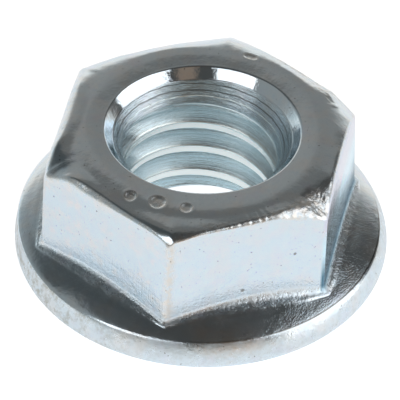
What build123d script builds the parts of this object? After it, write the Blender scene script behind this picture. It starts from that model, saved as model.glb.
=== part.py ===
from build123d import *
import os
from math import cos, radians, sin, tan

# Serrated hexagon flange nut, 5/16-18 UNC, cold forged in one piece and zinc plated.
# Millimetres and degrees. The thread's axis is Z, the bearing plane (the tips of the
# serrations) is z = 0, and the nut's plain end is at the top. A corner of the hexagon
# points along -Y.

# ---- Driving dimensions ----------------------------------------------------------------
# hexagon
across_flats = 12.70  # measured halfway up the flats
overall_height = 6.95  # bearing plane to top face
hex_draft = 1.2  # the forged flats lean in towards the top by this angle
corner_round = 0.25  # radius on the six upright corners

# crown: the top face and the rounded cone that takes off the hexagon's top corners
top_face_diameter = 10.00  # flat ring round the bore
crown_round = 3.00  # radius from the top face into the cone
crown_angle = 35.0  # slope of the cone below the horizontal

# flange
flange_diameter = 16.60
flange_slope = 22.0  # rise of the flange's upper side towards the hexagon
rim_bottom_round = 0.35  # radius under the rim
rim_wall = 0.25  # height of the rim's upright part
rim_top_round = 1.15  # radius over the rim
hex_fillet = 0.40  # radius where the flats run into the flange

# bore: the right-handed thread's crests, a deep countersink at the top and a slight one below
minor_diameter = 6.73
countersink_diameter = 8.57
lower_countersink_diameter = 7.40
countersink_angle = 82.0  # included angle of both

# serrations: ratchet teeth that stand proud of the flange's underside
serration_count = 30
serration_depth = 0.30  # at the teeth's outer ends
serration_inner_diameter = 11.20
serration_outer_diameter = 15.50
land_share = 0.20  # share of each tooth that is flat, on the bearing plane
steep_share = 0.10  # share of each tooth that its steep side takes

# ---- Worked out from them --------------------------------------------------------------
flange_radius = flange_diameter / 2
minor_radius = minor_diameter / 2
underside = serration_depth  # height of the flange's plain underside
rim_low = underside + rim_bottom_round
rim_high = rim_low + rim_wall
hex_base = rim_low  # the hexagon starts inside the flange
OVERRUN = 1.0  # how far a cutter runs past the surface that it cuts


def turned(half_section):
    """The solid that a closed half section, drawn as (radius, height), makes about Z."""
    return revolve(make_face(Plane.XZ * half_section), Axis.Z)


def make_flange():
    """A disc with a rounded rim, whose upper side is a cone that rises to the hexagon."""
    rim_arc = 90 - flange_slope
    rim_arc_radius = flange_radius - rim_top_round
    shoulder_radius = rim_arc_radius + rim_top_round * cos(radians(rim_arc))
    shoulder_height = rim_high + rim_top_round * sin(radians(rim_arc))
    hub_radius = across_flats / 2 - hex_fillet
    hub_height = shoulder_height + (shoulder_radius - hub_radius) * tan(radians(flange_slope))
    under_radius = flange_radius - rim_bottom_round
    half_section = Curve() + [
        Line((0, underside), (under_radius, underside)),
        CenterArc((under_radius, rim_low), rim_bottom_round, -90, 90),
        Line((flange_radius, rim_low), (flange_radius, rim_high)),
        CenterArc((rim_arc_radius, rim_high), rim_top_round, 0, rim_arc),
        Line((shoulder_radius, shoulder_height), (hub_radius, hub_height)),
        Line((hub_radius, hub_height), (0, hub_height)),
        Line((0, hub_height), (0, underside)),
    ]
    return turned(half_section)


def make_hexagon():
    """A drafted hexagonal prism with rounded upright corners."""
    height = overall_height - hex_base
    apothem = across_flats / 2 + height / 2 * tan(radians(hex_draft))
    outline = RegularPolygon(apothem, 6, major_radius=False, rotation=30)
    prism = extrude(Plane.XY.offset(hex_base) * outline, height, taper=hex_draft)
    uprights = prism.edges().filter_by(lambda edge: abs(edge.tangent_at(0.5).Z) > 0.9)
    return fillet(uprights, corner_round)


def make_crown():
    """A turned solid with a flat top face that rolls over into a cone."""
    flat_radius = top_face_diameter / 2
    cone_radius = flat_radius + crown_round * sin(radians(crown_angle))
    cone_height = overall_height - crown_round * (1 - cos(radians(crown_angle)))
    outer_radius = max(across_flats, cone_radius + OVERRUN)
    outer_height = cone_height - (outer_radius - cone_radius) * tan(radians(crown_angle))
    bottom = min(hex_base, outer_height) - OVERRUN
    half_section = Curve() + [
        Line((0, bottom), (0, overall_height)),
        Line((0, overall_height), (flat_radius, overall_height)),
        CenterArc((flat_radius, overall_height - crown_round), crown_round, 90, -crown_angle),
        Line((cone_radius, cone_height), (outer_radius, outer_height)),
        Line((outer_radius, outer_height), (outer_radius, bottom)),
        Line((outer_radius, bottom), (0, bottom)),
    ]
    return turned(half_section)


def make_blank():
    """Crowned hexagon and flange in one, with a fillet round the foot of the hexagon."""
    blank = (make_hexagon() & make_crown()) + make_flange()
    flange_cone = blank.faces().filter_by(GeomType.CONE).sort_by(SortBy.AREA)[-1]
    foot = flange_cone.edges().filter_by(
        lambda edge: edge.geom_type not in (GeomType.CIRCLE, GeomType.LINE)
    )
    return fillet(foot, hex_fillet)


def make_serrations():
    """The ring of ratchet teeth. All its cuts meet on the axis, so each side is flat.

    Seen from above and going anticlockwise, a tooth has a long ramp, a land and a steep
    side: the ramps slide as the nut is tightened, and the steep sides bite if it turns back.
    """
    outer_radius = serration_outer_diameter / 2
    ring = Pos(Z=rim_low / 2) * Cylinder(outer_radius, rim_low)
    ring -= Cylinder(serration_inner_diameter / 2, 4 * rim_low)
    tooth = 360 / serration_count
    near, far = 0.5, flange_radius / outer_radius

    def slice_at(scale):
        radius = scale * outer_radius
        ramp_side = radius * tan(radians(tooth * (1 - land_share) / 2))
        valley = ramp_side - 2 * ramp_side * (1 - land_share - steep_share) / (1 - land_share)
        below = -OVERRUN * scale
        corners = [
            (ramp_side, below),
            (ramp_side, 0),
            (valley, serration_depth * scale),
            (-ramp_side, 0),
            (-ramp_side, below),
        ]
        return Plane.YZ.offset(radius) * make_face(Polyline(*corners, close=True))

    groove = loft([slice_at(near), slice_at(far)], ruled=True)
    grooves = [place * groove for place in PolarLocations(0, serration_count)]
    return ring - grooves


def make_bore():
    """The hole across the thread's crests, with a countersink at each end."""
    slope = tan(radians(countersink_angle / 2))
    top_radius = countersink_diameter / 2
    low_radius = lower_countersink_diameter / 2
    half_section = Polyline(
        (0, underside - OVERRUN),
        (low_radius + OVERRUN * slope, underside - OVERRUN),
        (minor_radius, underside + (low_radius - minor_radius) / slope),
        (minor_radius, overall_height - (top_radius - minor_radius) / slope),
        (top_radius + OVERRUN * slope, overall_height + OVERRUN),
        (0, overall_height + OVERRUN),
        close=True,
    )
    return turned(half_section)


def make_nut():
    return make_blank() + make_serrations() - make_bore()


os.makedirs("parts", exist_ok=True)
flange_nut = make_nut()
export_step(flange_nut, "parts/flange_nut.step")
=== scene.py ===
import math
from functools import reduce
from types import SimpleNamespace
import bmesh
import bpy
import numpy as np
from mathutils import Matrix, Vector, noise


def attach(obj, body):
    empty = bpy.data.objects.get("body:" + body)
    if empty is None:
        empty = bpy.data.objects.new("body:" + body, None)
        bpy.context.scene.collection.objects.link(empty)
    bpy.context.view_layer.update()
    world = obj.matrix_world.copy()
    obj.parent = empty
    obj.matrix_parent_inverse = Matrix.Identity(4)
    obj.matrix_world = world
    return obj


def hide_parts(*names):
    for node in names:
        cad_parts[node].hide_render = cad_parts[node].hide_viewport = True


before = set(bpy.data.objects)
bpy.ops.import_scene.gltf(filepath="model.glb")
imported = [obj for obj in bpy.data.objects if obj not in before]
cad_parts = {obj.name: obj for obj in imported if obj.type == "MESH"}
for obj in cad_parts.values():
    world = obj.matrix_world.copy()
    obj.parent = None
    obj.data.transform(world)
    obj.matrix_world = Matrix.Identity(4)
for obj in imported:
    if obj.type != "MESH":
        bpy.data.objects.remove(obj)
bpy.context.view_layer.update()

# ---- Sizes of the nut, in millimetres, in the CAD's own frame -----------------------------
HEIGHT = 6.95
APOTHEM, HEX_MID = 6.35, 3.80  # the flats' distance from the axis, halfway up them
DRAFT = math.tan(math.radians(1.2))
TWIST = math.radians(0.23)  # the forged hexagon turns by this much for each millimetre up
CORNER_ROUND = 0.25
RING_R, RING_Z = 5.15, 6.938  # the crest of the ring round the bore
RING_DISH = 0.065  # how far the ring dips from its crest towards the bore
CROWN_ROUND, CROWN_ANGLE = 3.0, math.radians(35)
EDGE_Z = 6.6  # about the height of the crown's edge
FLANGE_R, FLANGE_SHIFT = 8.33, (0.13, -0.05)  # the flange stands a little off the axis
FLANGE_SLOPE = math.radians(22)
CONE_R, CONE_Z = 7.5808, 1.9663  # a point on the flange's cone
RIM_R = 7.97  # where the cone passes into the rim
KEEP_R = 7.74  # inside this radius the flange's rows bend round the hexagon
LOW_Z = 0.8  # only the rim's underside and the serrations lie below this height
UNDERSIDE = 0.30
SINK_R, LOW_SINK_R = 4.36, 3.70
SINK_SHIFT, SINK_OVAL = (0.03, 0.15), 0.07  # the upper countersink is off the axis, and oval
SINK_SLOPE = math.tan(math.radians(41))
BEND_R, BEND_Z = 3.89, 6.41  # below this point the upper countersink is steeper
BEND_SLOPE = math.tan(math.radians(33))
MINOR_R, THREAD_DEPTH = 3.39, 0.68
PITCH, CREST_WIDTH = 1.4111, 0.353
THREAD_FULL, THREAD_END = 5.15, 5.75  # the topmost groove fades out between these heights
THREAD_START = 0.296  # height of the groove's middle in the direction +X
TEETH, TOOTH_DEPTH, TOOTH_IN, TOOTH_OUT = 30, 0.30, 5.60, 7.75
LAND_SHARE, STEEP_SHARE = 0.20, 0.10  # of each tooth
CROWN_ROWS, SIDE_ROWS, CONE_ROWS, BORE_COLUMNS = 40, 14, 9, 184  # how fine the mesh is

FRONT = -90.0  # direction of the corner that is nearest to the camera
CAMERA_TURN = math.radians(10.38)  # the camera's azimuth from -Y towards +X


def step(x, low, high):
    """Smooth step from 0 at low to 1 at high."""
    t = np.clip((x - low) / (high - low), 0, 1)
    return t * t * (3 - 2 * t)


def hump(x, middle, width):
    """A smooth hump: 1 at its middle, and about 0 from two widths away."""
    return np.exp(-(((x - middle) / width) ** 2))


def smooth_max(a, b, width):
    """The larger of two values, rounded where they cross."""
    h = np.clip(0.5 + 0.5 * (b - a) / width, 0, 1)
    return a + (b - a) * h + width * h * (1 - h)


def around(theta):
    """Direction in degrees from the front corner, from -180 to 180."""
    return (np.degrees(theta) - FRONT + 180) % 360 - 180


def clouds(x, y, size, seed):
    """Smooth noise, about -0.5 to 0.5, with features of the given size."""
    places = np.stack([x.ravel(), y.ravel(), 0 * x.ravel()], 1) / size + seed
    return np.array([noise.noise(p) for p in places.tolist()]).reshape(x.shape)


# ---- The top: a height at every radius and direction --------------------------------------
# The crown isn't struck evenly. Each pair is a direction from the front corner and the height
# at which the crown would meet the hexagon's side there, if that edge were sharp.
EDGE_HEIGHT = [
    (-180, 6.26), (-172, 6.40), (-160, 6.58), (-147, 6.62), (-134, 6.57), (-126, 6.40),
    (-120, 6.21), (-115, 6.42), (-108, 6.66), (-98, 6.77), (-84, 6.77), (-72, 6.68),
    (-64, 6.35), (-60, 6.08), (-56.7, 6.27), (-51, 6.62), (-46.6, 6.67), (-41.5, 6.62),
    (-30, 6.67), (-10, 6.68), (-4, 6.62), (-1, 6.60), (3, 6.60), (10, 6.77), (16, 6.78),
    (30, 6.79), (46, 6.79), (54, 6.53), (57.5, 6.28), (60, 5.95), (64, 6.33), (75, 6.71),
    (90, 6.71), (105, 6.55), (115, 6.27), (120, 6.03), (124.5, 6.36), (127, 6.50),
    (133, 6.51), (147, 6.62), (157, 6.65), (165, 6.59), (173, 6.45), (180, 6.26),
]
# The radius that rounds the same edge.
EDGE_ROUND = [
    (-180, 0.30), (-130, 0.40), (-114, 0.75), (-72, 0.80), (-62, 0.50), (-55, 0.55),
    (-42, 0.60), (-30, 0.42), (-18, 0.30), (-12, 0.28), (-4, 0.34), (1, 0.28), (6, 0.15),
    (16, 0.17), (30, 0.28), (42, 0.32), (52, 0.38), (58, 0.36), (63, 0.28), (70, 0.35),
    (110, 0.35), (130, 0.30), (180, 0.30),
]
# The radius of the fillet where the flats run into the flange.
FOOT_ROUND = [
    (-180, 0.35), (-70, 0.35), (-58, 0.30), (-8, 0.27), (2, 0.26), (12, 0.32), (30, 0.42),
    (50, 0.52), (60, 0.45), (68, 0.26), (112, 0.24), (122, 0.30), (180, 0.35),
]
# Where the crown's edge was struck flat: the direction that the cut faces, from the front
# corner, then the radius, height and slope in degrees of its plane.
KNOCKED = [(-16, 6.71, 6.71, 46), (48, 6.33, 6.80, 38), (120, 6.75, 6.35, 40)]
# Where the crown's edge is torn and folded: direction, half width, innermost radius, and the
# depth and size of the folds.
TORN = [
    (51, 21, 6.1, 0.030, 0.15),
    (26, 22, 6.02, 0.014, 0.15),
    (8, 8, 6.45, 0.012, 0.15),
    (140, 26, 6.0, 0.016, 0.2),
]
# Plain round punch marks: where the middle of each starts and ends, its radius and its depth.
MARKS = [
    ((-2.20, -4.85), (-2.20, -4.90), 0.24, 0.08),
    ((-0.97, -4.98), (-0.97, -5.06), 0.34, 0.08),
    ((0.32, -5.10), (0.32, -5.16), 0.24, 0.08),
    ((1.05, 5.38), (1.35, 5.32), 0.16, 0.05),
]


def table(theta, pairs):
    """A value that depends on direction, from pairs of direction and value, smoothed a little."""
    places, values = zip(*pairs)
    nearby = [around(theta + math.radians(d)) for d in (-2, -1, 0, 1, 2)]
    return sum(np.interp(off, places, values) for off in nearby) / len(nearby)


def capsule(x, y, start, end, radius):
    """Distance to the edge of a short stroke, less than 0 inside it."""
    start, end = np.array(start), np.array(end)
    along = end - start
    t = ((x - start[0]) * along[0] + (y - start[1]) * along[1]) / (along @ along)
    t = np.clip(t, 0, 1)
    return np.hypot(x - start[0] - t * along[0], y - start[1] - t * along[1]) - radius


def punched(x, y):
    """How much the punch marks change the height: each is a dent with a low rim."""
    change = 0 * x
    for start, end, radius, deep in MARKS:
        gap = capsule(x, y, start, end, radius)
        change = change - deep * (1 - step(gap, -0.11, 0.05)) + 0.006 * hump(gap, 0.09, 0.06)
    return change


def torn_share(r, theta, place, half, inner):
    """How far a point of the crown lies in one of its torn places, from 0 to 1."""
    away = np.abs((around(theta) - place + 180) % 360 - 180)
    return step(away, half, half * 0.45) * step(r, inner - 0.12, inner + 0.12)


def rough_share(r, theta):
    """How far the top is torn or punched at a point, from 0 to 1."""
    share = 0 * r
    for place, half, inner, deep, _ in TORN:
        share = np.maximum(share, torn_share(r, theta, place, half, inner) * step(deep, 0.0, 0.03))
    for start, end, radius, _ in MARKS:
        gap = capsule(r * np.cos(theta), r * np.sin(theta), start, end, radius)
        share = np.maximum(share, 0.8 * (1 - step(gap, 0.0, 0.12)))
    return share


def even_crown(r, crest):
    """Height of the crown if it were struck evenly: a roll from the ring's crest into a cone."""
    cone_r = crest + CROWN_ROUND * math.sin(CROWN_ANGLE)
    cone_z = RING_Z - CROWN_ROUND * (1 - math.cos(CROWN_ANGLE))
    over = np.clip(r - crest, 0, cone_r - crest)
    roll = RING_Z - CROWN_ROUND + np.sqrt(CROWN_ROUND**2 - over**2)
    return np.where(r < cone_r, roll, cone_z - (r - cone_r) * math.tan(CROWN_ANGLE))


def top_height(r, theta):
    """Height of the dished ring, its crest, and the crown that rolls down from it."""
    # the crest is nearer to the bore on the front left
    crest = RING_R - 0.28 * hump(around(theta), -40, 30)
    edge_r = side_radius(theta, EDGE_Z)
    lift = table(theta, EDGE_HEIGHT) - even_crown(edge_r, crest)
    dip = RING_DISH * (np.clip(crest - r, 0, None) / (crest - SINK_R)) ** 1.35
    z = even_crown(r, crest) - dip + lift * step(r, 5.6, edge_r)
    for place, radius, height, slope in KNOCKED:
        beyond = r * np.cos(theta - math.radians(place + FRONT)) - radius
        z = -smooth_max(-z, math.tan(math.radians(slope)) * beyond - height, 0.05)
    x, y = r * np.cos(theta), r * np.sin(theta)
    for place, half, inner, deep, size in TORN:
        share = torn_share(r, theta, place, half, inner)
        if np.any(share > 0):
            folds = 0.5 - 2 * np.abs(clouds(x, y, size, place)) + clouds(x, y, size / 2.5, place + 9)
            z = z + deep * share * folds
    waves = 0.016 * clouds(x, y, 1.6, 3.0) * step(r, 4.3, 4.8)
    return z + punched(x, y) + waves


def side_radius(theta, z):
    """Radius of the drafted hexagon with rounded corners, in direction theta at height z."""
    apothem = APOTHEM + (HEX_MID - z) * DRAFT
    off_flat = (theta + math.pi / 6) % (math.pi / 3) - math.pi / 6
    off_corner = math.pi / 6 - np.abs(off_flat)
    flat = apothem / np.cos(off_flat)
    centre = (apothem - CORNER_ROUND) / math.cos(math.pi / 6)
    inside = np.clip(CORNER_ROUND**2 - (centre * np.sin(off_corner)) ** 2, 0, None)
    rounded = centre * np.cos(off_corner) + np.sqrt(inside)
    reach = np.arctan2(CORNER_ROUND * 0.5, centre + CORNER_ROUND * math.cos(math.pi / 6))
    # the flat behind the left corner bulges a little at its top
    bulge = 0.07 * hump(around(theta), -69, 9) * step(z, 4.5, 6.3)
    return np.where(off_corner < reach, rounded, flat) + bulge


def sink_offset(theta):
    """How much further from the axis the upper countersink is than if it were centred and round."""
    oval = SINK_OVAL * np.cos(2 * (theta - CAMERA_TURN))
    return SINK_SHIFT[0] * np.cos(theta) + SINK_SHIFT[1] * np.sin(theta) + oval


# ---- The flange: one profile, turned ------------------------------------------------------
# Each arc runs from one steepness of the surface to the next, with its radius. The steepness is
# the angle of the surface's normal above the horizontal.
RIM_TOP = [(68, 52, 3.0), (52, 38, 0.35), (38, 28, 1.0), (28, 18, 2.75), (18, 0, 0.75)]
RIM_BOTTOM = [(0, -50, 0.45), (-50, -90, 0.35)]


def chain(arcs, count):
    """Points of a chain of arcs that starts at (0, 0)."""
    points = [np.zeros(2)]
    for start, end, radius in arcs:
        e0 = math.radians(start)
        base = points[-1].copy()
        for k in range(1, count + 1):
            e = math.radians(start + (end - start) * k / count)
            along = [math.cos(e) - math.cos(e0), math.sin(e) - math.sin(e0)]
            points.append(base + radius * np.array(along))
    return np.array(points)


def rim_profile(count):
    """Points (radius, height) from the flange's cone over the rim to the underside."""
    bottom = chain(RIM_BOTTOM, count)
    bottom += [FLANGE_R - bottom[0, 0], UNDERSIDE - bottom[-1, 1]]
    top = chain(RIM_TOP, count)
    top[:, 0] += FLANGE_R - top[-1, 0]
    top[:, 1] += CONE_Z + (CONE_R - top[0, 0]) * math.tan(FLANGE_SLOPE) - top[0, 1]
    return np.concatenate([top, bottom])


RIM = rim_profile(60)
RIM_START = RIM[0, 0]


def flange_height(r):
    """Height of the flange's upper side: the cone, then the rim."""
    cone = CONE_Z + (CONE_R - r) * math.tan(FLANGE_SLOPE)
    outer = RIM[: np.argmax(RIM[:, 0]) + 1]
    return np.where(r < RIM_START, cone, np.interp(r, outer[:, 0], outer[:, 1]))


# ---- The outside, as one profile for each direction round the axis ------------------------
def arc_rows(before, corner, after, radius, count):
    """Rows of points on the arc that rounds off a corner of the profile."""
    radius = np.broadcast_to(radius, len(corner))[:, None]
    u, w = before - corner, after - corner
    u = u / np.linalg.norm(u, axis=1)[:, None]
    w = w / np.linalg.norm(w, axis=1)[:, None]
    half = np.arccos(np.clip((u * w).sum(1), -1, 1))[:, None] / 2
    start, end = corner + u * radius / np.tan(half), corner + w * radius / np.tan(half)
    middle = (u + w) / np.linalg.norm(u + w, axis=1)[:, None]
    centre = corner + middle * radius / np.sin(half)
    turn = math.pi - 2 * half
    first = (start - centre) / radius
    side = (end - centre) / radius
    side = side - first * (first * side).sum(1)[:, None]
    side = side / np.linalg.norm(side, axis=1)[:, None]
    share = [k / count for k in range(count + 1)]
    return [centre + (first * np.cos(turn * t) + side * np.sin(turn * t)) * radius for t in share]


def column(r, z):
    """A row of the mesh: a radius and a height for each direction."""
    return np.stack(np.broadcast_arrays(r, z), 1).astype(float)


def between(start, end, count):
    """Evenly spaced rows between two rows, without the ends."""
    return [start + (end - start) * k / count for k in range(1, count)]


def solve_height(theta, surface, low, high):
    """Height at which the hexagon's side meets a surface given as a height over (r, theta)."""
    low, high = np.full(len(theta), low), np.full(len(theta), high)
    for _ in range(40):
        middle = (low + high) / 2
        above = middle > surface(side_radius(theta, middle), theta)
        low, high = np.where(above, low, middle), np.where(above, middle, high)
    return (low + high) / 2


def outside(theta):
    """Rows of points from the bore's lip over the crown, a side and the flange to its edge.

    Returns them, and the rows at which the crown's edge, the side, its foot and the cone start.
    """
    n = len(theta)
    starts = {}
    # bore lip: an arc between the countersink and the dished ring
    drop = HEIGHT - top_height(SINK_R + sink_offset(theta), theta)
    # the lip is rounder on the right and at the front
    lip_round = 0.16 + 0.07 * np.cos(theta - CAMERA_TURN) - 0.04 * np.sin(theta - CAMERA_TURN)
    lip = column(SINK_R + sink_offset(theta) - drop * SINK_SLOPE, HEIGHT - drop)
    beyond = lip[:, 0] + 0.1
    out = column(beyond, top_height(beyond, theta)) - lip
    rows = arc_rows(lip - [SINK_SLOPE, 1], lip, lip + out, lip_round, count=6)

    # crown: a height at every point, up to where the rounding of its edge starts
    edge_z = solve_height(theta, top_height, low=4.0, high=7.2)
    edge = column(side_radius(theta, edge_z), edge_z)
    inward = column(edge[:, 0] - 0.15, top_height(edge[:, 0] - 0.15, theta))
    down = column(side_radius(theta, edge_z - 1) - edge[:, 0], -np.ones(n))
    edge_rows = arc_rows(inward, edge, edge + down, table(theta, EDGE_ROUND), count=7)
    first, last = rows[-1][:, 0], edge_rows[0][:, 0]
    gap = edge_rows[0][:, 1] - top_height(last, theta)
    for k in range(1, CROWN_ROWS):
        r = first + (last - first) * k / CROWN_ROWS
        rows.append(column(r, top_height(r, theta) + gap * step(k / CROWN_ROWS, 0.6, 1.0)))
    starts["edge"] = len(rows)
    rows += edge_rows
    starts["side"] = len(rows)

    # a side, and the fillet at its foot
    foot_z = solve_height(theta, lambda r, _: flange_height(r), low=0.5, high=4.0)
    foot = column(side_radius(theta, foot_z), foot_z)
    up = column(side_radius(theta, foot_z + 1) - foot[:, 0], np.ones(n))
    beyond = foot[:, 0] + 0.1
    out = column(beyond, flange_height(beyond)) - foot
    # the fillet ends inside KEEP_R
    room = (KEEP_R - 0.03 - foot[:, 0]) / math.tan((math.pi / 2 - FLANGE_SLOPE) / 2)
    foot_round = np.clip(room, 0.05, table(theta, FOOT_ROUND))
    foot_rows = arc_rows(foot + up, foot, foot + out, foot_round, count=9)
    rows += between(rows[-1], foot_rows[0], SIDE_ROWS)
    starts["foot"] = len(rows)
    rows += foot_rows
    starts["cone"] = len(rows)

    # flange
    first = rows[-1][:, 0]
    for k in range(1, CONE_ROWS):
        r = first + (KEEP_R - first) * k / CONE_ROWS
        rows.append(column(r, flange_height(r)))
    for r, z in rim_profile(6):
        if r > KEEP_R:
            rows.append(column(np.full(n, r), np.full(n, z)))
    return np.stack(rows), starts


# ---- The underside ------------------------------------------------------------------------
def tooth_columns():
    """Directions for the underside: a pair each side of every edge of every tooth."""
    one = [-4.9, -4.7, -3.7, -3.5, -2.4, -1.2, 0, 1.2, 2.4, 3.6, 4.7, 4.9, 6.0]
    apart = 360 / TEETH
    return np.radians(np.concatenate([np.array(one) + apart * k for k in range(TEETH)]))


def tooth_height(theta, r):
    """Height of the serrated face: 0 on the lands, and grooves that meet on the axis."""
    apart = 2 * math.pi / TEETH
    off = (theta + apart / 2) % apart - apart / 2
    slant = np.tan(off)
    ramp = math.tan(apart * (1 - LAND_SHARE) / 2)
    valley = ramp - 2 * ramp * (1 - LAND_SHARE - STEEP_SHARE) / (1 - LAND_SHARE)
    shape = np.interp(slant, [-ramp, valley, ramp], [0, 1, 0], left=0, right=0)
    return TOOTH_DEPTH * shape * r * np.cos(off) / TOOTH_OUT


def underside(theta):
    """Rows from the flange's edge over the serrations to the lower countersink's edge."""

    def row(r, share):
        """A row that follows the teeth by the given share, and the plain face by the rest."""
        return column(r + 0 * theta, UNDERSIDE + share * (tooth_height(theta, r) - UNDERSIDE))

    on_teeth = [TOOTH_OUT - 0.03, *np.linspace(TOOTH_OUT - 0.1, TOOTH_IN + 0.1, 8), TOOTH_IN + 0.03]
    rows = [row(TOOTH_OUT + 0.17, 0), row(TOOTH_OUT + 0.05, 0), row(TOOTH_OUT, 0.06)]
    rows += [row(r, 1) for r in on_teeth]
    rows.append(row(TOOTH_IN, 0.06))
    rows += [row(r, 0) for r in (5.5, 5.0, 4.5, 4.1, LOW_SINK_R + 0.03)]
    return np.stack(rows)


# ---- The bore: rows that climb with the thread --------------------------------------------
def thread_profile(phase):
    """Depth of the thread's groove, 0 to 1, at a phase of a turn; 0 is the crest's middle."""
    flank = THREAD_DEPTH * math.tan(math.pi / 6)
    half = np.array([0, CREST_WIDTH / 2, CREST_WIDTH / 2 + flank, PITCH / 2]) / PITCH
    fine = np.linspace(-0.5, 1.5, 4001)
    shape = np.interp(np.abs((fine + 0.5) % 1 - 0.5), half, [0, 0, 1, 1])
    kernel = np.hanning(101)
    shape = np.convolve(np.pad(shape, 50, mode="edge"), kernel / kernel.sum(), "valid")
    return np.interp(phase % 1, fine, shape)


def bore_grid(columns):
    """The bore's grid, each row one turn's climb along the thread.

    Returns its points, how many rows a turn has, and how much of each point is thread.
    """
    # phases of the rows, as shares of a turn: closer together where the profile bends
    half = [0, 0.06, 0.095, 0.12, 0.14, 0.17, 0.22, 0.28, 0.34, 0.38, 0.41, 0.45]
    phases = np.array(half + [0.5] + [1 - h for h in half[::-1][:-1]])
    low, high = UNDERSIDE + 0.015, HEIGHT - 0.17
    start = THREAD_START + PITCH / 2 - 2 * PITCH
    turns = math.ceil((high - start) / PITCH) + 1
    climb = np.concatenate([phases + k for k in range(turns)])[:, None]
    share = np.arange(columns)[None, :] / columns
    theta = 2 * math.pi * share + 0 * climb
    z = np.clip(start + PITCH * (share + climb), low, high)
    phase = (z - start) / PITCH - share
    groove_z = start + PITCH * (share + np.floor(phase + 1e-9) + 0.5)
    depth = thread_profile(phase) * (1 - step(groove_z, THREAD_FULL, THREAD_END))
    bore_r = MINOR_R + THREAD_DEPTH * depth
    sink_r = np.maximum(SINK_R - (HEIGHT - z) * SINK_SLOPE, BEND_R - (BEND_Z - z) * BEND_SLOPE)
    sink_r = sink_r + sink_offset(theta)
    r = smooth_max(bore_r, sink_r, 0.06)
    r = smooth_max(r, LOW_SINK_R - (z - UNDERSIDE) * SINK_SLOPE, 0.05)
    is_thread = 1 - step(sink_r - bore_r, -0.12, 0.02)
    return np.stack([r * np.cos(theta), r * np.sin(theta), z], -1), len(phases), is_thread


# ---- Joining the zones into one closed mesh -----------------------------------------------
def polar(rows, theta):
    """Points (x, y, z) from rows of (radius, height)."""
    return np.stack([rows[..., 0] * np.cos(theta), rows[..., 0] * np.sin(theta), rows[..., 1]], -1)


def band(first, count, rows):
    """Faces of a closed band of rows."""
    faces = []
    for a in range(first, first + (rows - 1) * count, count):
        for i in range(count):
            k = (i + 1) % count
            faces.append((a + i, a + count + i, a + count + k, a + k))
    return faces


def zip_rings(angles_a, first_a, angles_b, first_b):
    """Triangles between two rings whose points stand at different angles."""
    turn = 2 * math.pi
    order_a, order_b = np.argsort(angles_a % turn), np.argsort(angles_b % turn)
    a, b = (angles_a % turn)[order_a], (angles_b % turn)[order_b]
    ids_a, ids_b = (first_a + order_a).tolist(), (first_b + order_b).tolist()
    na, nb = len(a), len(b)
    i = j = 0
    faces = []
    while i < na or j < nb:
        next_a = a[(i + 1) % na] + turn * ((i + 1) // na)
        next_b = b[(j + 1) % nb] + turn * ((j + 1) // nb)
        here = (ids_a[i % na], ids_b[j % nb])
        if j >= nb or (i < na and next_a <= next_b):
            faces.append((*here, ids_a[(i + 1) % na]))
            i += 1
        else:
            faces.append((*here, ids_b[(j + 1) % nb]))
            j += 1
    return faces


def spiral_band(first, bore, per_turn):
    """Faces of the bore's grid, whose end column meets its first one a turn further up."""
    rows, count = bore.shape[:2]
    faces = []
    for j in range(rows - 1):
        a = first + j * count
        for i in range(count - 1):
            faces.append((a + i, a + count + i, a + count + i + 1, a + i + 1))
        c, d = min(j + per_turn, rows - 1), min(j + 1 + per_turn, rows - 1)
        faces.append((a + count - 1, a + 2 * count - 1, first + d * count, first + c * count))
    return faces


ZONES = ("side", "foot", "rim", "wear", "rough", "grainy", "sink", "thread")


def side_columns():
    """Directions for the outside: closer together at the hexagon's corners."""
    near = [0, 0.25, 0.5, 0.8, 1.15, 1.6, 2.2, 2.9]
    half = np.array(near + list(np.linspace(3.6, 30, 38)))
    side = np.concatenate([half[:-1], 60 - half[::-1][:-1]])
    return np.radians(np.concatenate([FRONT + 60 * k + side for k in range(6)]))


def outside_masks(rows, starts, theta):
    """How far each point of the outside belongs to the sides, their foot, the rim, the worn edges,
    the torn or punched places, and the grainy part of the flange."""
    shape = rows.shape[:2]
    index = np.arange(shape[0])[:, None] + np.zeros(shape)
    r, z = rows[..., 0], rows[..., 1]
    off = around(theta)[None, :]
    side = step(index, starts["edge"], starts["side"] - 1)
    side = side * (1 - step(index, starts["foot"], starts["cone"]))
    foot = step(index, starts["foot"] - 3, starts["foot"])
    foot = foot * (1 - step(index, starts["cone"], starts["cone"] + 3))
    rim = step(r, RIM_R, RIM_R + 0.07) + step(-z, -1.2, -1.1)
    edge = hump(index, starts["edge"] + 3, 4.0)
    upright = hump((off + 30) % 60 - 30, 0, 1.3) * side
    top = step(-index, -starts["side"], -starts["edge"])
    # the front corner is scraped down its whole height
    rough = rough_share(r, theta[None, :] + 0 * r) * top + hump(off, 0.9, 1.3) * side
    # the flange is grainy round the right corner
    grainy = step(np.abs(off - 62), 62, 38) * step(index, starts["cone"] - 2, starts["cone"] + 2)
    grainy = grainy * (1 - np.clip(rim, 0, 1))
    masks = {"side": side, "foot": foot, "rim": rim, "rough": rough, "grainy": grainy}
    masks["wear"] = edge + upright
    return {name: np.clip(mask, 0, 1) for name, mask in masks.items()}


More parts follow.
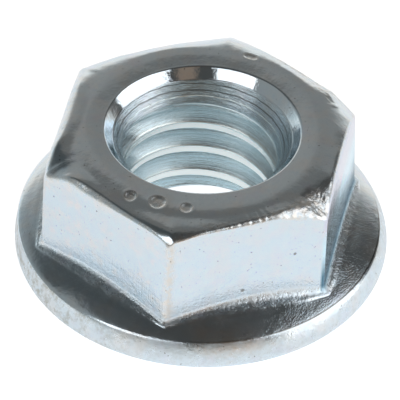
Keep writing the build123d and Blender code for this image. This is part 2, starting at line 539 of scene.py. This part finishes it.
def shell_points(rows, theta, twist):
    """The outside's points, with the hexagon's twist and the flange's own place and outline."""
    r, z = rows[..., 0], rows[..., 1]
    # the cone's edge lies further out on the left and at the right corner
    leftward = np.clip(np.cos(theta - math.pi - CAMERA_TURN), 0, 1)
    out_by = 0.18 * leftward**2 + 0.08 * hump(around(theta), 70, 26)
    out_by = out_by * step(r, 7.5, RIM_R) * step(-r, -FLANGE_R, -RIM_R) * (z > LOW_Z)
    shell = polar(np.stack([r + out_by, z], -1), theta + twist)
    share = np.where(z < LOW_Z, 1.0, step(r, 7.5, 8.25))
    shell[..., :2] += np.array(FLANGE_SHIFT) * share[..., None]
    return shell


def nut_mesh():
    """The whole nut as one closed mesh, with each point's share of every zone."""
    theta_a, theta_b = side_columns(), tooth_columns()
    out, starts = outside(theta_a)
    under = underside(theta_b)
    bore, per_turn, is_thread = bore_grid(BORE_COLUMNS)
    na, nb, nc = len(theta_a), len(theta_b), bore.shape[1]
    twist = TWIST * (np.maximum(out[..., 1], 2.0) - HEX_MID) * (1 - step(out[..., 0], 7.3, KEEP_R))
    first_b = out.shape[0] * na
    first_c = first_b + under.shape[0] * nb
    zones = (shell_points(out, theta_a, twist), polar(under, theta_b), bore)
    points = np.concatenate([zone.reshape(-1, 3) for zone in zones])
    faces = band(0, na, len(out)) + band(first_b, nb, len(under)) + spiral_band(first_c, bore, per_turn)
    theta_c = 2 * math.pi * np.arange(nc) / nc
    faces += zip_rings(theta_a, first_b - na, theta_b, first_b)
    faces += zip_rings(theta_b, first_c - nb, theta_c, first_c)
    faces += zip_rings(theta_c, len(points) - nc, theta_a + twist[0], 0)
    mesh = bpy.data.meshes.new("flange_nut_skin")
    mesh.from_pydata((points / 1000).tolist(), [], faces)
    shares = {name: np.zeros(len(points)) for name in ZONES}
    for name, mask in outside_masks(out, starts, theta_a).items():
        shares[name][:first_b] = mask.ravel()
    shares["thread"][first_c:] = is_thread.ravel()
    shares["sink"][first_c:] = 1 - is_thread.ravel()
    shares["sink"][:na] = 1  # the first row of the lip
    for name, values in shares.items():
        attribute = mesh.attributes.new(name, "FLOAT", "POINT")
        attribute.data.foreach_set("value", values.astype(np.float32))
    return mesh


def clean(mesh):
    """Merges the bore's doubled points, drops its empty faces and turns every face outwards."""
    bm = bmesh.new()
    bm.from_mesh(mesh)
    bmesh.ops.remove_doubles(bm, verts=bm.verts, dist=2e-7)
    bmesh.ops.dissolve_degenerate(bm, edges=bm.edges, dist=1e-8)
    bmesh.ops.recalc_face_normals(bm, faces=bm.faces)
    for face in bm.faces:
        face.smooth = True
    bm.to_mesh(mesh)
    open_edges = sum(len(edge.link_faces) != 2 for edge in bm.edges)
    triangles = sum(len(face.verts) - 2 for face in bm.faces)
    print("triangles", triangles, "open edges", open_edges, "volume", bm.calc_volume() * 1e9)
    bm.free()


# ---- Shader helpers -----------------------------------------------------------------------
def node(tree, kind, **inputs):
    """A shader node with some of its inputs set, by value or by a link. An input is given by its
    name, or by its number after an underscore."""
    made = tree.nodes.new(kind)
    for name, value in inputs.items():
        socket = made.inputs[int(name[1:])] if name[0] == "_" else made.inputs[name]
        if isinstance(value, bpy.types.NodeSocket):
            tree.links.new(value, socket)
        else:
            socket.default_value = value
    return made


def calc(tree, operation, *values):
    """The result of a Math node."""
    made = node(tree, "ShaderNodeMath", **{f"_{i}": v for i, v in enumerate(values)})
    made.operation = operation
    return made.outputs[0]


def times(tree, *values):
    """The product of some values."""
    return reduce(lambda a, b: calc(tree, "MULTIPLY", a, b), values)


def total(tree, *values):
    """The sum of some values."""
    return reduce(lambda a, b: calc(tree, "ADD", a, b), values)


def distance(tree, x, y):
    """Distance of the point (x, y) from (0, 0)."""
    return calc(tree, "SQRT", total(tree, times(tree, x, x), times(tree, y, y)))


def span(tree, value, low, high, to_low=0.0, to_high=1.0):
    """Maps low..high to to_low..to_high, and stops there."""
    inputs = {"Value": value, "_1": low, "_2": high, "_3": to_low, "_4": to_high}
    return node(tree, "ShaderNodeMapRange", **inputs).outputs[0]


def ramp(tree, factor, stops):
    """A colour ramp; each stop is (place, colour)."""
    made = node(tree, "ShaderNodeValToRGB", Fac=factor)
    while len(made.color_ramp.elements) < len(stops):
        made.color_ramp.elements.new(0.5)
    for element, (place, colour) in zip(made.color_ramp.elements, stops):
        element.position = place
        element.color = (*colour, 1)
    return made.outputs["Color"]


def blend(tree, factor, a, b):
    """A colour between a and b."""
    made = tree.nodes.new("ShaderNodeMix")
    made.data_type = "RGBA"
    a, b = (v if isinstance(v, bpy.types.NodeSocket) else (*v, 1) for v in (a, b))
    for socket, value in ((made.inputs[0], factor), (made.inputs[6], a), (made.inputs[7], b)):
        if isinstance(value, bpy.types.NodeSocket):
            tree.links.new(value, socket)
        else:
            socket.default_value = value
    return made.outputs[2]


def grain(tree, place, size, detail=2.0, rough=0.55, stretch=(1, 1, 1)):
    """Noise from 0 to 1 whose features have the given size in millimetres."""
    scaled = node(tree, "ShaderNodeVectorMath", _0=place, _1=[1 / (size * s) for s in stretch])
    scaled.operation = "MULTIPLY"
    inputs = {"Vector": scaled.outputs[0], "Scale": 1.0, "Detail": detail, "Roughness": rough}
    return node(tree, "ShaderNodeTexNoise", **inputs).outputs["Fac"]


def spot(tree, place, centre, size):
    """1 within a small ball and 0 outside it, with a soft ragged edge."""
    away = node(tree, "ShaderNodeVectorMath", _0=place, _1=centre)
    away.operation = "DISTANCE"
    uneven = times(tree, grain(tree, place, size / 2, 2), size * 0.9)
    ragged = total(tree, away.outputs["Value"], uneven)
    return span(tree, ragged, size * 1.75, size * 1.15)


# ---- Zinc plate ---------------------------------------------------------------------------
ZINC_BLUE = (0.655, 0.745, 0.81)
ROUGHNESS = 0.135  # of the crown and the smooth part of the flange
# The other zones' roughness. Where zones overlap, a later one covers an earlier one.
ZONE_ROUGHNESS = {
    "side": 0.17, "foot": 0.26, "rim": 0.30, "grainy": 0.15, "sink": 0.06, "low_sink": 0.12,
    "thread": 0.17, "wear": 0.24, "rough": 0.32,
}
SHADED_CREASE_R = 7.96  # painted shade: a dark line along a fine crease between the flange's grainy part and its rim
# Single marks: centre and size.
FRONT_SMEAR = ((0.0, -7.16, 6.47), 0.11)  # brown, on the front corner's top
PINK_SPOT = ((6.37, 0.0, 5.4), 0.36)  # on the right flat
SPECKS = [
    ((5.11, -4.36, 4.5), 0.07),
    ((3.06, -5.57, 3.0), 0.09),
    ((-0.04, -7.42, 2.05), 0.07),
    ((-0.05, -7.22, 2.42), 0.10),
]
# Dark lines and a pale line drawn round the countersink's lower part: height, half width and grey.
SINK_LINES = [(6.30, 0.025, 0.06), (6.05, 0.035, 0.08), (5.84, 0.022, 0.95)]


def surface_inputs(tree):
    """What the zinc's colour, gloss and relief share: a point's place in millimetres, its
    distance from the axis, and how far it belongs to each zone."""
    coords = tree.nodes.new("ShaderNodeTexCoord").outputs["Object"]
    millimetres = node(tree, "ShaderNodeVectorMath", _0=coords, _1=(1000, 1000, 1000))
    millimetres.operation = "MULTIPLY"
    at = SimpleNamespace(place=millimetres.outputs[0])
    at.x, at.y, at.z = node(tree, "ShaderNodeSeparateXYZ", Vector=at.place).outputs
    at.radius = distance(tree, at.x, at.y)
    for name in ZONES:
        attribute = tree.nodes.new("ShaderNodeAttribute")
        attribute.attribute_name = name
        setattr(at, name, attribute.outputs["Fac"])
    # the countersink was cut bright only near its top
    at.low_sink = times(tree, at.sink, span(tree, at.z, 6.45, 6.38))
    return at


def zinc_layers(tree, at):
    """The layers of colour that lie over the zinc's own: how far each covers, and its colour."""

    def patchy(size, low, high, detail=3, rough=0.55, least=0.0, most=1.0):
        """Ragged patches: noise from low to high becomes least to most."""
        return span(tree, grain(tree, at.place, size, detail, rough), low, high, least, most)

    # yellowish, violet and blue patches of the passivate, and a paler blue on the flats
    more_on_side = calc(tree, "MULTIPLY_ADD", at.side, 0.20, 0.38)
    layers = [
        (times(tree, patchy(0.95, 0.45, 0.68), more_on_side), (0.75, 0.70, 0.665)),
        (times(tree, patchy(0.7, 0.52, 0.75), 0.35), (0.66, 0.66, 0.80)),
        (times(tree, patchy(0.25, 0.52, 0.72, detail=2), 0.22), (0.52, 0.66, 0.80)),
        (times(tree, at.side, 0.35), (0.66, 0.80, 0.92)),
    ]
    # beige stains, most of them on the left
    beige = times(tree, patchy(0.8, 0.52, 0.66, detail=4, rough=0.6), at.side)
    layers.append((times(tree, beige, span(tree, at.x, 1.5, -0.5, 0.15, 0.50)), (0.80, 0.76, 0.735)))
    # worn edges, and what has settled where the metal is torn
    layers += [
        (times(tree, at.wear, patchy(0.22, 0.42, 0.60), 0.5), (0.80, 0.76, 0.70)),
        (times(tree, at.rough, patchy(0.22, 0.38, 0.60, least=0.2, most=0.85)), (0.75, 0.71, 0.66)),
        (times(tree, spot(tree, at.place, *FRONT_SMEAR), 0.6), (0.34, 0.30, 0.26)),
    ]
    # painted reflection on the right flat: a violet sheen at its top, then pale blue, and dark at its
    # foot, where the flat mirrors the dark flange
    right_flat_painted_reflection = times(tree, at.side, span(tree, at.x, 6.18, 6.28))
    layers += [
        (times(tree, right_flat_painted_reflection, span(tree, at.z, 4.6, 5.6, 0, 0.6)), (0.66, 0.65, 0.80)),
        (times(tree, right_flat_painted_reflection, span(tree, at.z, 5.4, 4.6, 0, 0.85)), (0.62, 0.86, 1.0)),
        (times(tree, right_flat_painted_reflection, span(tree, at.z, 4.0, 2.8, 0, 0.95)), (0.07, 0.17, 0.24)),
        (times(tree, spot(tree, at.place, *PINK_SPOT), 0.3), (0.92, 0.66, 0.72)),
    ]
    # the rim's grey mottle, with painted shade that makes it stronger on the left
    mottle = times(tree, at.rim, patchy(0.34, 0.46, 0.66, detail=5, rough=0.7))
    layers.append((times(tree, mottle, span(tree, at.x, -6.5, -1.0, 1.4, 0.3)), (0.46, 0.48, 0.46)))
    # the countersink's lower part: painted shade, darkest in the middle and lighter towards the left
    # and right, and dark and pale lines drawn round it
    from_left = span(tree, at.x, -2.7, -1.8, 0.15, 0.85)
    from_right = span(tree, at.x, 0.9, 0.1, 0.35, 0.85)
    middle = calc(tree, "MINIMUM", from_left, from_right)
    layers.append((times(tree, at.low_sink, middle), (0.31, 0.39, 0.42)))
    uneven = times(tree, grain(tree, at.place, 0.5, 3), 0.10)
    level = total(tree, at.z, times(tree, at.x, 0.03), uneven)
    for line, half, grey in SINK_LINES:
        away = calc(tree, "ABSOLUTE", calc(tree, "SUBTRACT", level, line))
        drawn = times(tree, span(tree, away, half, half * 0.4), at.low_sink, 0.75)
        layers.append((drawn, (grey, grey * 1.1, grey * 1.1)))
    # painted light: the thread is made paler than the zinc, with a painted highlight on its crests
    crest = times(tree, at.thread, span(tree, at.radius, 3.52, 3.43), 0.85)
    layers += [(times(tree, at.thread, 0.85), (0.78, 0.90, 0.94)), (crest, (0.94, 1.0, 1.0))]
    # dark specks, and painted shade along the crease
    dark = patchy(0.11, 0.735, 0.765, detail=1)
    for centre, size in SPECKS:
        dark = calc(tree, "MAXIMUM", dark, spot(tree, at.place, centre, size))
    from_axis = [calc(tree, "SUBTRACT", v, shift) for v, shift in zip((at.x, at.y), FLANGE_SHIFT)]
    off_crease = calc(tree, "SUBTRACT", distance(tree, *from_axis), SHADED_CREASE_R)
    off_crease = calc(tree, "ABSOLUTE", off_crease)
    crease_shade = times(tree, at.grainy, span(tree, off_crease, 0.045, 0.015))
    layers.append((times(tree, calc(tree, "MAXIMUM", dark, crease_shade), 0.75), (0.16, 0.15, 0.13)))
    return layers


def zinc_roughness(tree, at):
    """Roughness zone by zone, with smudges."""
    roughness = ROUGHNESS
    for name, value in ZONE_ROUGHNESS.items():
        mixed = node(tree, "ShaderNodeMix", _0=getattr(at, name), _2=roughness, _3=value)
        roughness = mixed.outputs[0]
    smudge = span(tree, grain(tree, at.place, 0.6, 4, 0.65), 0.35, 0.75, 0.8, 1.5)
    return times(tree, roughness, smudge)


def zinc_relief(tree, at):
    """Height of the relief that is finer than the mesh, in millimetres."""

    def bumps(deep, size, detail=2, rough=0.55, stretch=(1, 1, 1)):
        """Noise of the given depth, with features of the given size."""
        return times(tree, grain(tree, at.place, size, detail, rough, stretch), deep)

    lower_side = times(tree, at.side, span(tree, at.z, 5.2, 2.4, 0.35, 1.0))
    battered = calc(tree, "MAXIMUM", at.rough, times(tree, at.wear, 0.5))
    crumpled = total(tree, bumps(0.019, 0.09, 3, rough=0.6), bumps(0.03, 0.3))
    # scores that run along the thread: noise in coordinates that climb with it
    turn = times(tree, at.z, 2 * math.pi / PITCH)
    turn = calc(tree, "SUBTRACT", turn, calc(tree, "ARCTAN2", at.y, at.x))
    climbing = {"X": calc(tree, "COSINE", turn), "Y": calc(tree, "SINE", turn), "Z": at.radius}
    helix = node(tree, "ShaderNodeCombineXYZ", **climbing).outputs[0]
    scores = times(tree, grain(tree, helix, 0.10, 3, 0.65), 0.016)
    relief = [
        # the plating's grain, and slow waves
        bumps(0.0016, 0.055),
        bumps(0.010, 0.45),
        # marks of the die that run up the flats, mostly low down
        times(tree, bumps(0.009, 0.07, rough=0.6, stretch=(1, 1, 14)), lower_side),
        # the rim's orange peel, the flange's pits, the torn places and the foot's crumples
        times(tree, bumps(0.014, 0.16, 3), at.rim),
        times(tree, bumps(0.010, 0.07), at.grainy),
        times(tree, bumps(0.012, 0.09, 3), battered),
        times(tree, crumpled, at.foot),
        # turned rings in the countersink, deeper in its lower part
        times(tree, bumps(0.0022, 0.035, rough=0.7, stretch=(60, 60, 1)), at.sink),
        times(tree, bumps(0.016, 0.07, rough=0.7, stretch=(60, 60, 1)), at.low_sink),
        times(tree, scores, calc(tree, "MAXIMUM", at.thread, at.low_sink)),
    ]
    return total(tree, *relief)


def make_zinc():
    """Bright zinc plate: a bluish skin with yellowish patches, on a forged and turned surface."""
    material = bpy.data.materials.new("zinc")
    material.use_nodes = True
    tree = material.node_tree
    bsdf = tree.nodes["Principled BSDF"]
    bsdf.inputs["Metallic"].default_value = 1.0
    at = surface_inputs(tree)
    colour = ZINC_BLUE
    for share, tint in zinc_layers(tree, at):
        colour = blend(tree, share, colour, tint)
    tree.links.new(colour, bsdf.inputs["Base Color"])
    tree.links.new(zinc_roughness(tree, at), bsdf.inputs["Roughness"])
    relief = zinc_relief(tree, at)
    bump = node(tree, "ShaderNodeBump", Height=relief, Strength=1.0, Distance=0.001)
    tree.links.new(bump.outputs["Normal"], bsdf.inputs["Normal"])
    return material


mesh = nut_mesh()
clean(mesh)
nut = bpy.data.objects.new("flange_nut_body", mesh)
bpy.context.scene.collection.objects.link(nut)
mesh.materials.append(make_zinc())
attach(nut, "root")
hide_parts("flange_nut")


# ---- Light and floor ----------------------------------------------------------------------
# What the nut mirrors, by direction: pairs of elevation in degrees and level. Each goes from the
# white floor below to the same dim ceiling. The steps are the tops of the backdrop, near 47
# degrees, and of a wall on the left, near 54.
CEILING = 0.062
BACK_TOP = [(66, 0.155), (78, 0.08)]
BACK_LEFT = [(9, 1), (16, 0.55), (24, 0.31), (47.5, 0.30), (49.5, 0.17), *BACK_TOP]
BACK_RIGHT = [(9, 1), (15, 0.5), (22, 0.25), (45, 0.24), (47, 0.17), *BACK_TOP]
LEFT = [(4, 0.95), (12, 0.42), (18, 0.32), (52, 0.30), (56, 0.10)]
LEFT_BEHIND = [(4, 0.95), (12, 0.42), (20, 0.36), (32, 0.26), (42, 0.09), (60, 0.08)]
RIGHT = [(2, 0.95), (10, 0.16), (20, 0.08)]
NEAR = [(0, 0.95), (8, 0.62), (22, 0.22), (33, 0.08)]
BROWN = [(0, 0.95), (8, 0.62), (22, 0.22), (33, 0.20), (52, 0.20), (58, 0.08)]
LAMP_DISTANCE = 0.6  # metres
FLOOR_HALF = 3.0  # metres
FLOOR_GREY = 0.8
SEEN_GLOW, MIRRORED_GLOW = 0.8, 0.66  # what the floor adds for the camera, and in the metal


def make_world():
    """The studio that the metal mirrors, palest behind the nut. It stays where it is when another
    view is taken: its directions are those of the photo's camera."""
    world = bpy.data.worlds.new("studio")
    bpy.context.scene.world = world
    world.use_nodes = True
    tree = world.node_tree
    tree.nodes.clear()
    coords = tree.nodes.new("ShaderNodeTexCoord").outputs["Generated"]
    turned = node(tree, "ShaderNodeVectorRotate", Vector=coords, Angle=-CAMERA_TURN)
    turned.rotation_type = "Z_AXIS"
    x, y, z = node(tree, "ShaderNodeSeparateXYZ", Vector=turned.outputs[0]).outputs
    level = calc(tree, "MAXIMUM", distance(tree, x, y), 0.001)
    # cosines of the angles from straight behind the nut and from straight to its right
    behind, beside = calc(tree, "DIVIDE", y, level), calc(tree, "DIVIDE", x, level)
    height = calc(tree, "MULTIPLY_ADD", z, 0.5, 0.5)

    def sky(stops, tint=(1.03, 1.0, 0.94)):
        """A tinted grey by elevation."""
        stops = [(-90, 1), *stops, (90, CEILING)]
        places = [0.5 + 0.5 * math.sin(math.radians(elevation)) for elevation, _ in stops]
        colours = [tuple(value * t for t in tint) for _, value in stops]
        return ramp(tree, height, list(zip(places, colours)))

    left = sky(LEFT, (0.96, 1.0, 0.98))
    left_behind = sky(LEFT_BEHIND, (0.92, 1.0, 1.0))
    left = blend(tree, span(tree, behind, 0.15, 0.35), left, left_behind)
    sides = blend(tree, span(tree, beside, -0.1, 0.1), left, sky(RIGHT))
    backdrop = blend(tree, span(tree, beside, -0.14, 0.14), sky(BACK_LEFT), sky(BACK_RIGHT))
    # something brown stands 9 to 33 degrees to the right of the camera
    patch = times(tree, span(tree, beside, 0.14, 0.18), span(tree, beside, 0.56, 0.52))
    nearest = blend(tree, patch, sky(NEAR), sky(BROWN, (1.28, 0.98, 0.76)))
    colour = blend(tree, span(tree, behind, 0.76, 0.87), sides, backdrop)
    colour = blend(tree, span(tree, behind, -0.50, -0.80), colour, nearest)
    background = node(tree, "ShaderNodeBackground", Color=colour, Strength=1.0)
    output = tree.nodes.new("ShaderNodeOutputWorld")
    tree.links.new(background.outputs[0], output.inputs[0])


def make_lamp(name, azimuth, elevation, width, height, radiance):
    """A soft box that faces the nut. Its azimuth is from the camera's, to the right, and its
    width and height are the angles that it fills, in degrees."""
    a = math.radians(azimuth - 90) + CAMERA_TURN
    e = math.radians(elevation)
    lamp = bpy.data.lights.new(name, "AREA")
    lamp.shape = "RECTANGLE"
    lamp.size = 2 * LAMP_DISTANCE * math.tan(math.radians(width / 2)) * math.cos(e)
    lamp.size_y = 2 * LAMP_DISTANCE * math.tan(math.radians(height / 2))
    lamp.energy = radiance * math.pi * lamp.size * lamp.size_y
    holder = bpy.data.objects.new(name, lamp)
    away = Vector((math.cos(a) * math.cos(e), math.sin(a) * math.cos(e), math.sin(e)))
    holder.location = away * LAMP_DISTANCE
    holder.rotation_euler = away.to_track_quat("Z", "Y").to_euler()
    bpy.context.scene.collection.objects.link(holder)


def make_floor():
    """A white floor. It is see-through from below, so that the underside can be looked at."""
    floor_mesh = bpy.data.meshes.new("floor")
    corners = [(x * FLOOR_HALF, y * FLOOR_HALF, 0) for x, y in ((-1, -1), (1, -1), (1, 1), (-1, 1))]
    floor_mesh.from_pydata(corners, [], [(0, 1, 2, 3)])
    floor = bpy.data.objects.new("floor", floor_mesh)
    bpy.context.scene.collection.objects.link(floor)
    material = bpy.data.materials.new("floor")
    material.use_nodes = True
    tree = material.node_tree
    tree.nodes.clear()
    path = tree.nodes.new("ShaderNodeLightPath").outputs
    mirrored = calc(tree, "MAXIMUM", path["Is Glossy Ray"], path["Is Transmission Ray"])
    seen = times(tree, path["Is Camera Ray"], SEEN_GLOW)
    strength = total(tree, seen, times(tree, mirrored, MIRRORED_GLOW))
    diffuse = node(tree, "ShaderNodeBsdfDiffuse", Color=(FLOOR_GREY, FLOOR_GREY, FLOOR_GREY, 1))
    glow = node(tree, "ShaderNodeEmission", Strength=strength)
    both = node(tree, "ShaderNodeAddShader", _0=diffuse.outputs[0], _1=glow.outputs[0])
    clear = tree.nodes.new("ShaderNodeBsdfTransparent")
    below = tree.nodes.new("ShaderNodeNewGeometry").outputs["Backfacing"]
    mixed = node(tree, "ShaderNodeMixShader", _0=below, _1=both.outputs[0], _2=clear.outputs[0])
    output = tree.nodes.new("ShaderNodeOutputMaterial")
    tree.links.new(mixed.outputs[0], output.inputs[0])
    floor_mesh.materials.append(material)


# ---- Camera -------------------------------------------------------------------------------
IMAGE_SIZE = 400  # pixels
ORIGIN_PIXEL = (197.86, 245.47)  # where the photo shows the frame's origin
PIXELS_PER_MM = 22.268
CAMERA_DISTANCE = 230.0  # millimetres
CAMERA_ELEVATION, CAMERA_ROLL = math.radians(42.22), math.radians(1.83)
SENSOR = 36.0  # millimetres


def set_camera():
    """A long lens, from measurements of how the nut stands to the camera."""
    right = Vector((1, 0, 0))
    forward = Vector((0, math.cos(CAMERA_ELEVATION), -math.sin(CAMERA_ELEVATION)))
    up = Vector((0, math.sin(CAMERA_ELEVATION), math.cos(CAMERA_ELEVATION)))
    x_axis = math.cos(CAMERA_ROLL) * right + math.sin(CAMERA_ROLL) * up
    y_axis = -math.sin(CAMERA_ROLL) * right + math.cos(CAMERA_ROLL) * up
    across, down = ((pixel - IMAGE_SIZE / 2) / PIXELS_PER_MM for pixel in ORIGIN_PIXEL)
    place = -(across * x_axis - down * y_axis + CAMERA_DISTANCE * forward)
    rotation = Matrix((x_axis, y_axis, -forward)).transposed().to_4x4()
    camera = bpy.data.cameras.new("camera")
    camera.sensor_width = SENSOR
    camera.lens = SENSOR * PIXELS_PER_MM * CAMERA_DISTANCE / IMAGE_SIZE
    camera.clip_start, camera.clip_end = 0.01, 20
    holder = bpy.data.objects.new("camera", camera)
    spin = Matrix.Rotation(CAMERA_TURN, 4, "Z")
    holder.matrix_world = spin @ Matrix.Translation(place / 1000) @ rotation
    bpy.context.scene.collection.objects.link(holder)
    bpy.context.scene.camera = holder


make_world()
make_floor()
make_lamp("box_right", azimuth=78, elevation=26.5, width=60, height=57, radiance=1.6)
make_lamp("box_left", azimuth=-38.5, elevation=41, width=47, height=22, radiance=1.6)
set_camera()
bpy.context.scene.view_settings.view_transform = "Standard"
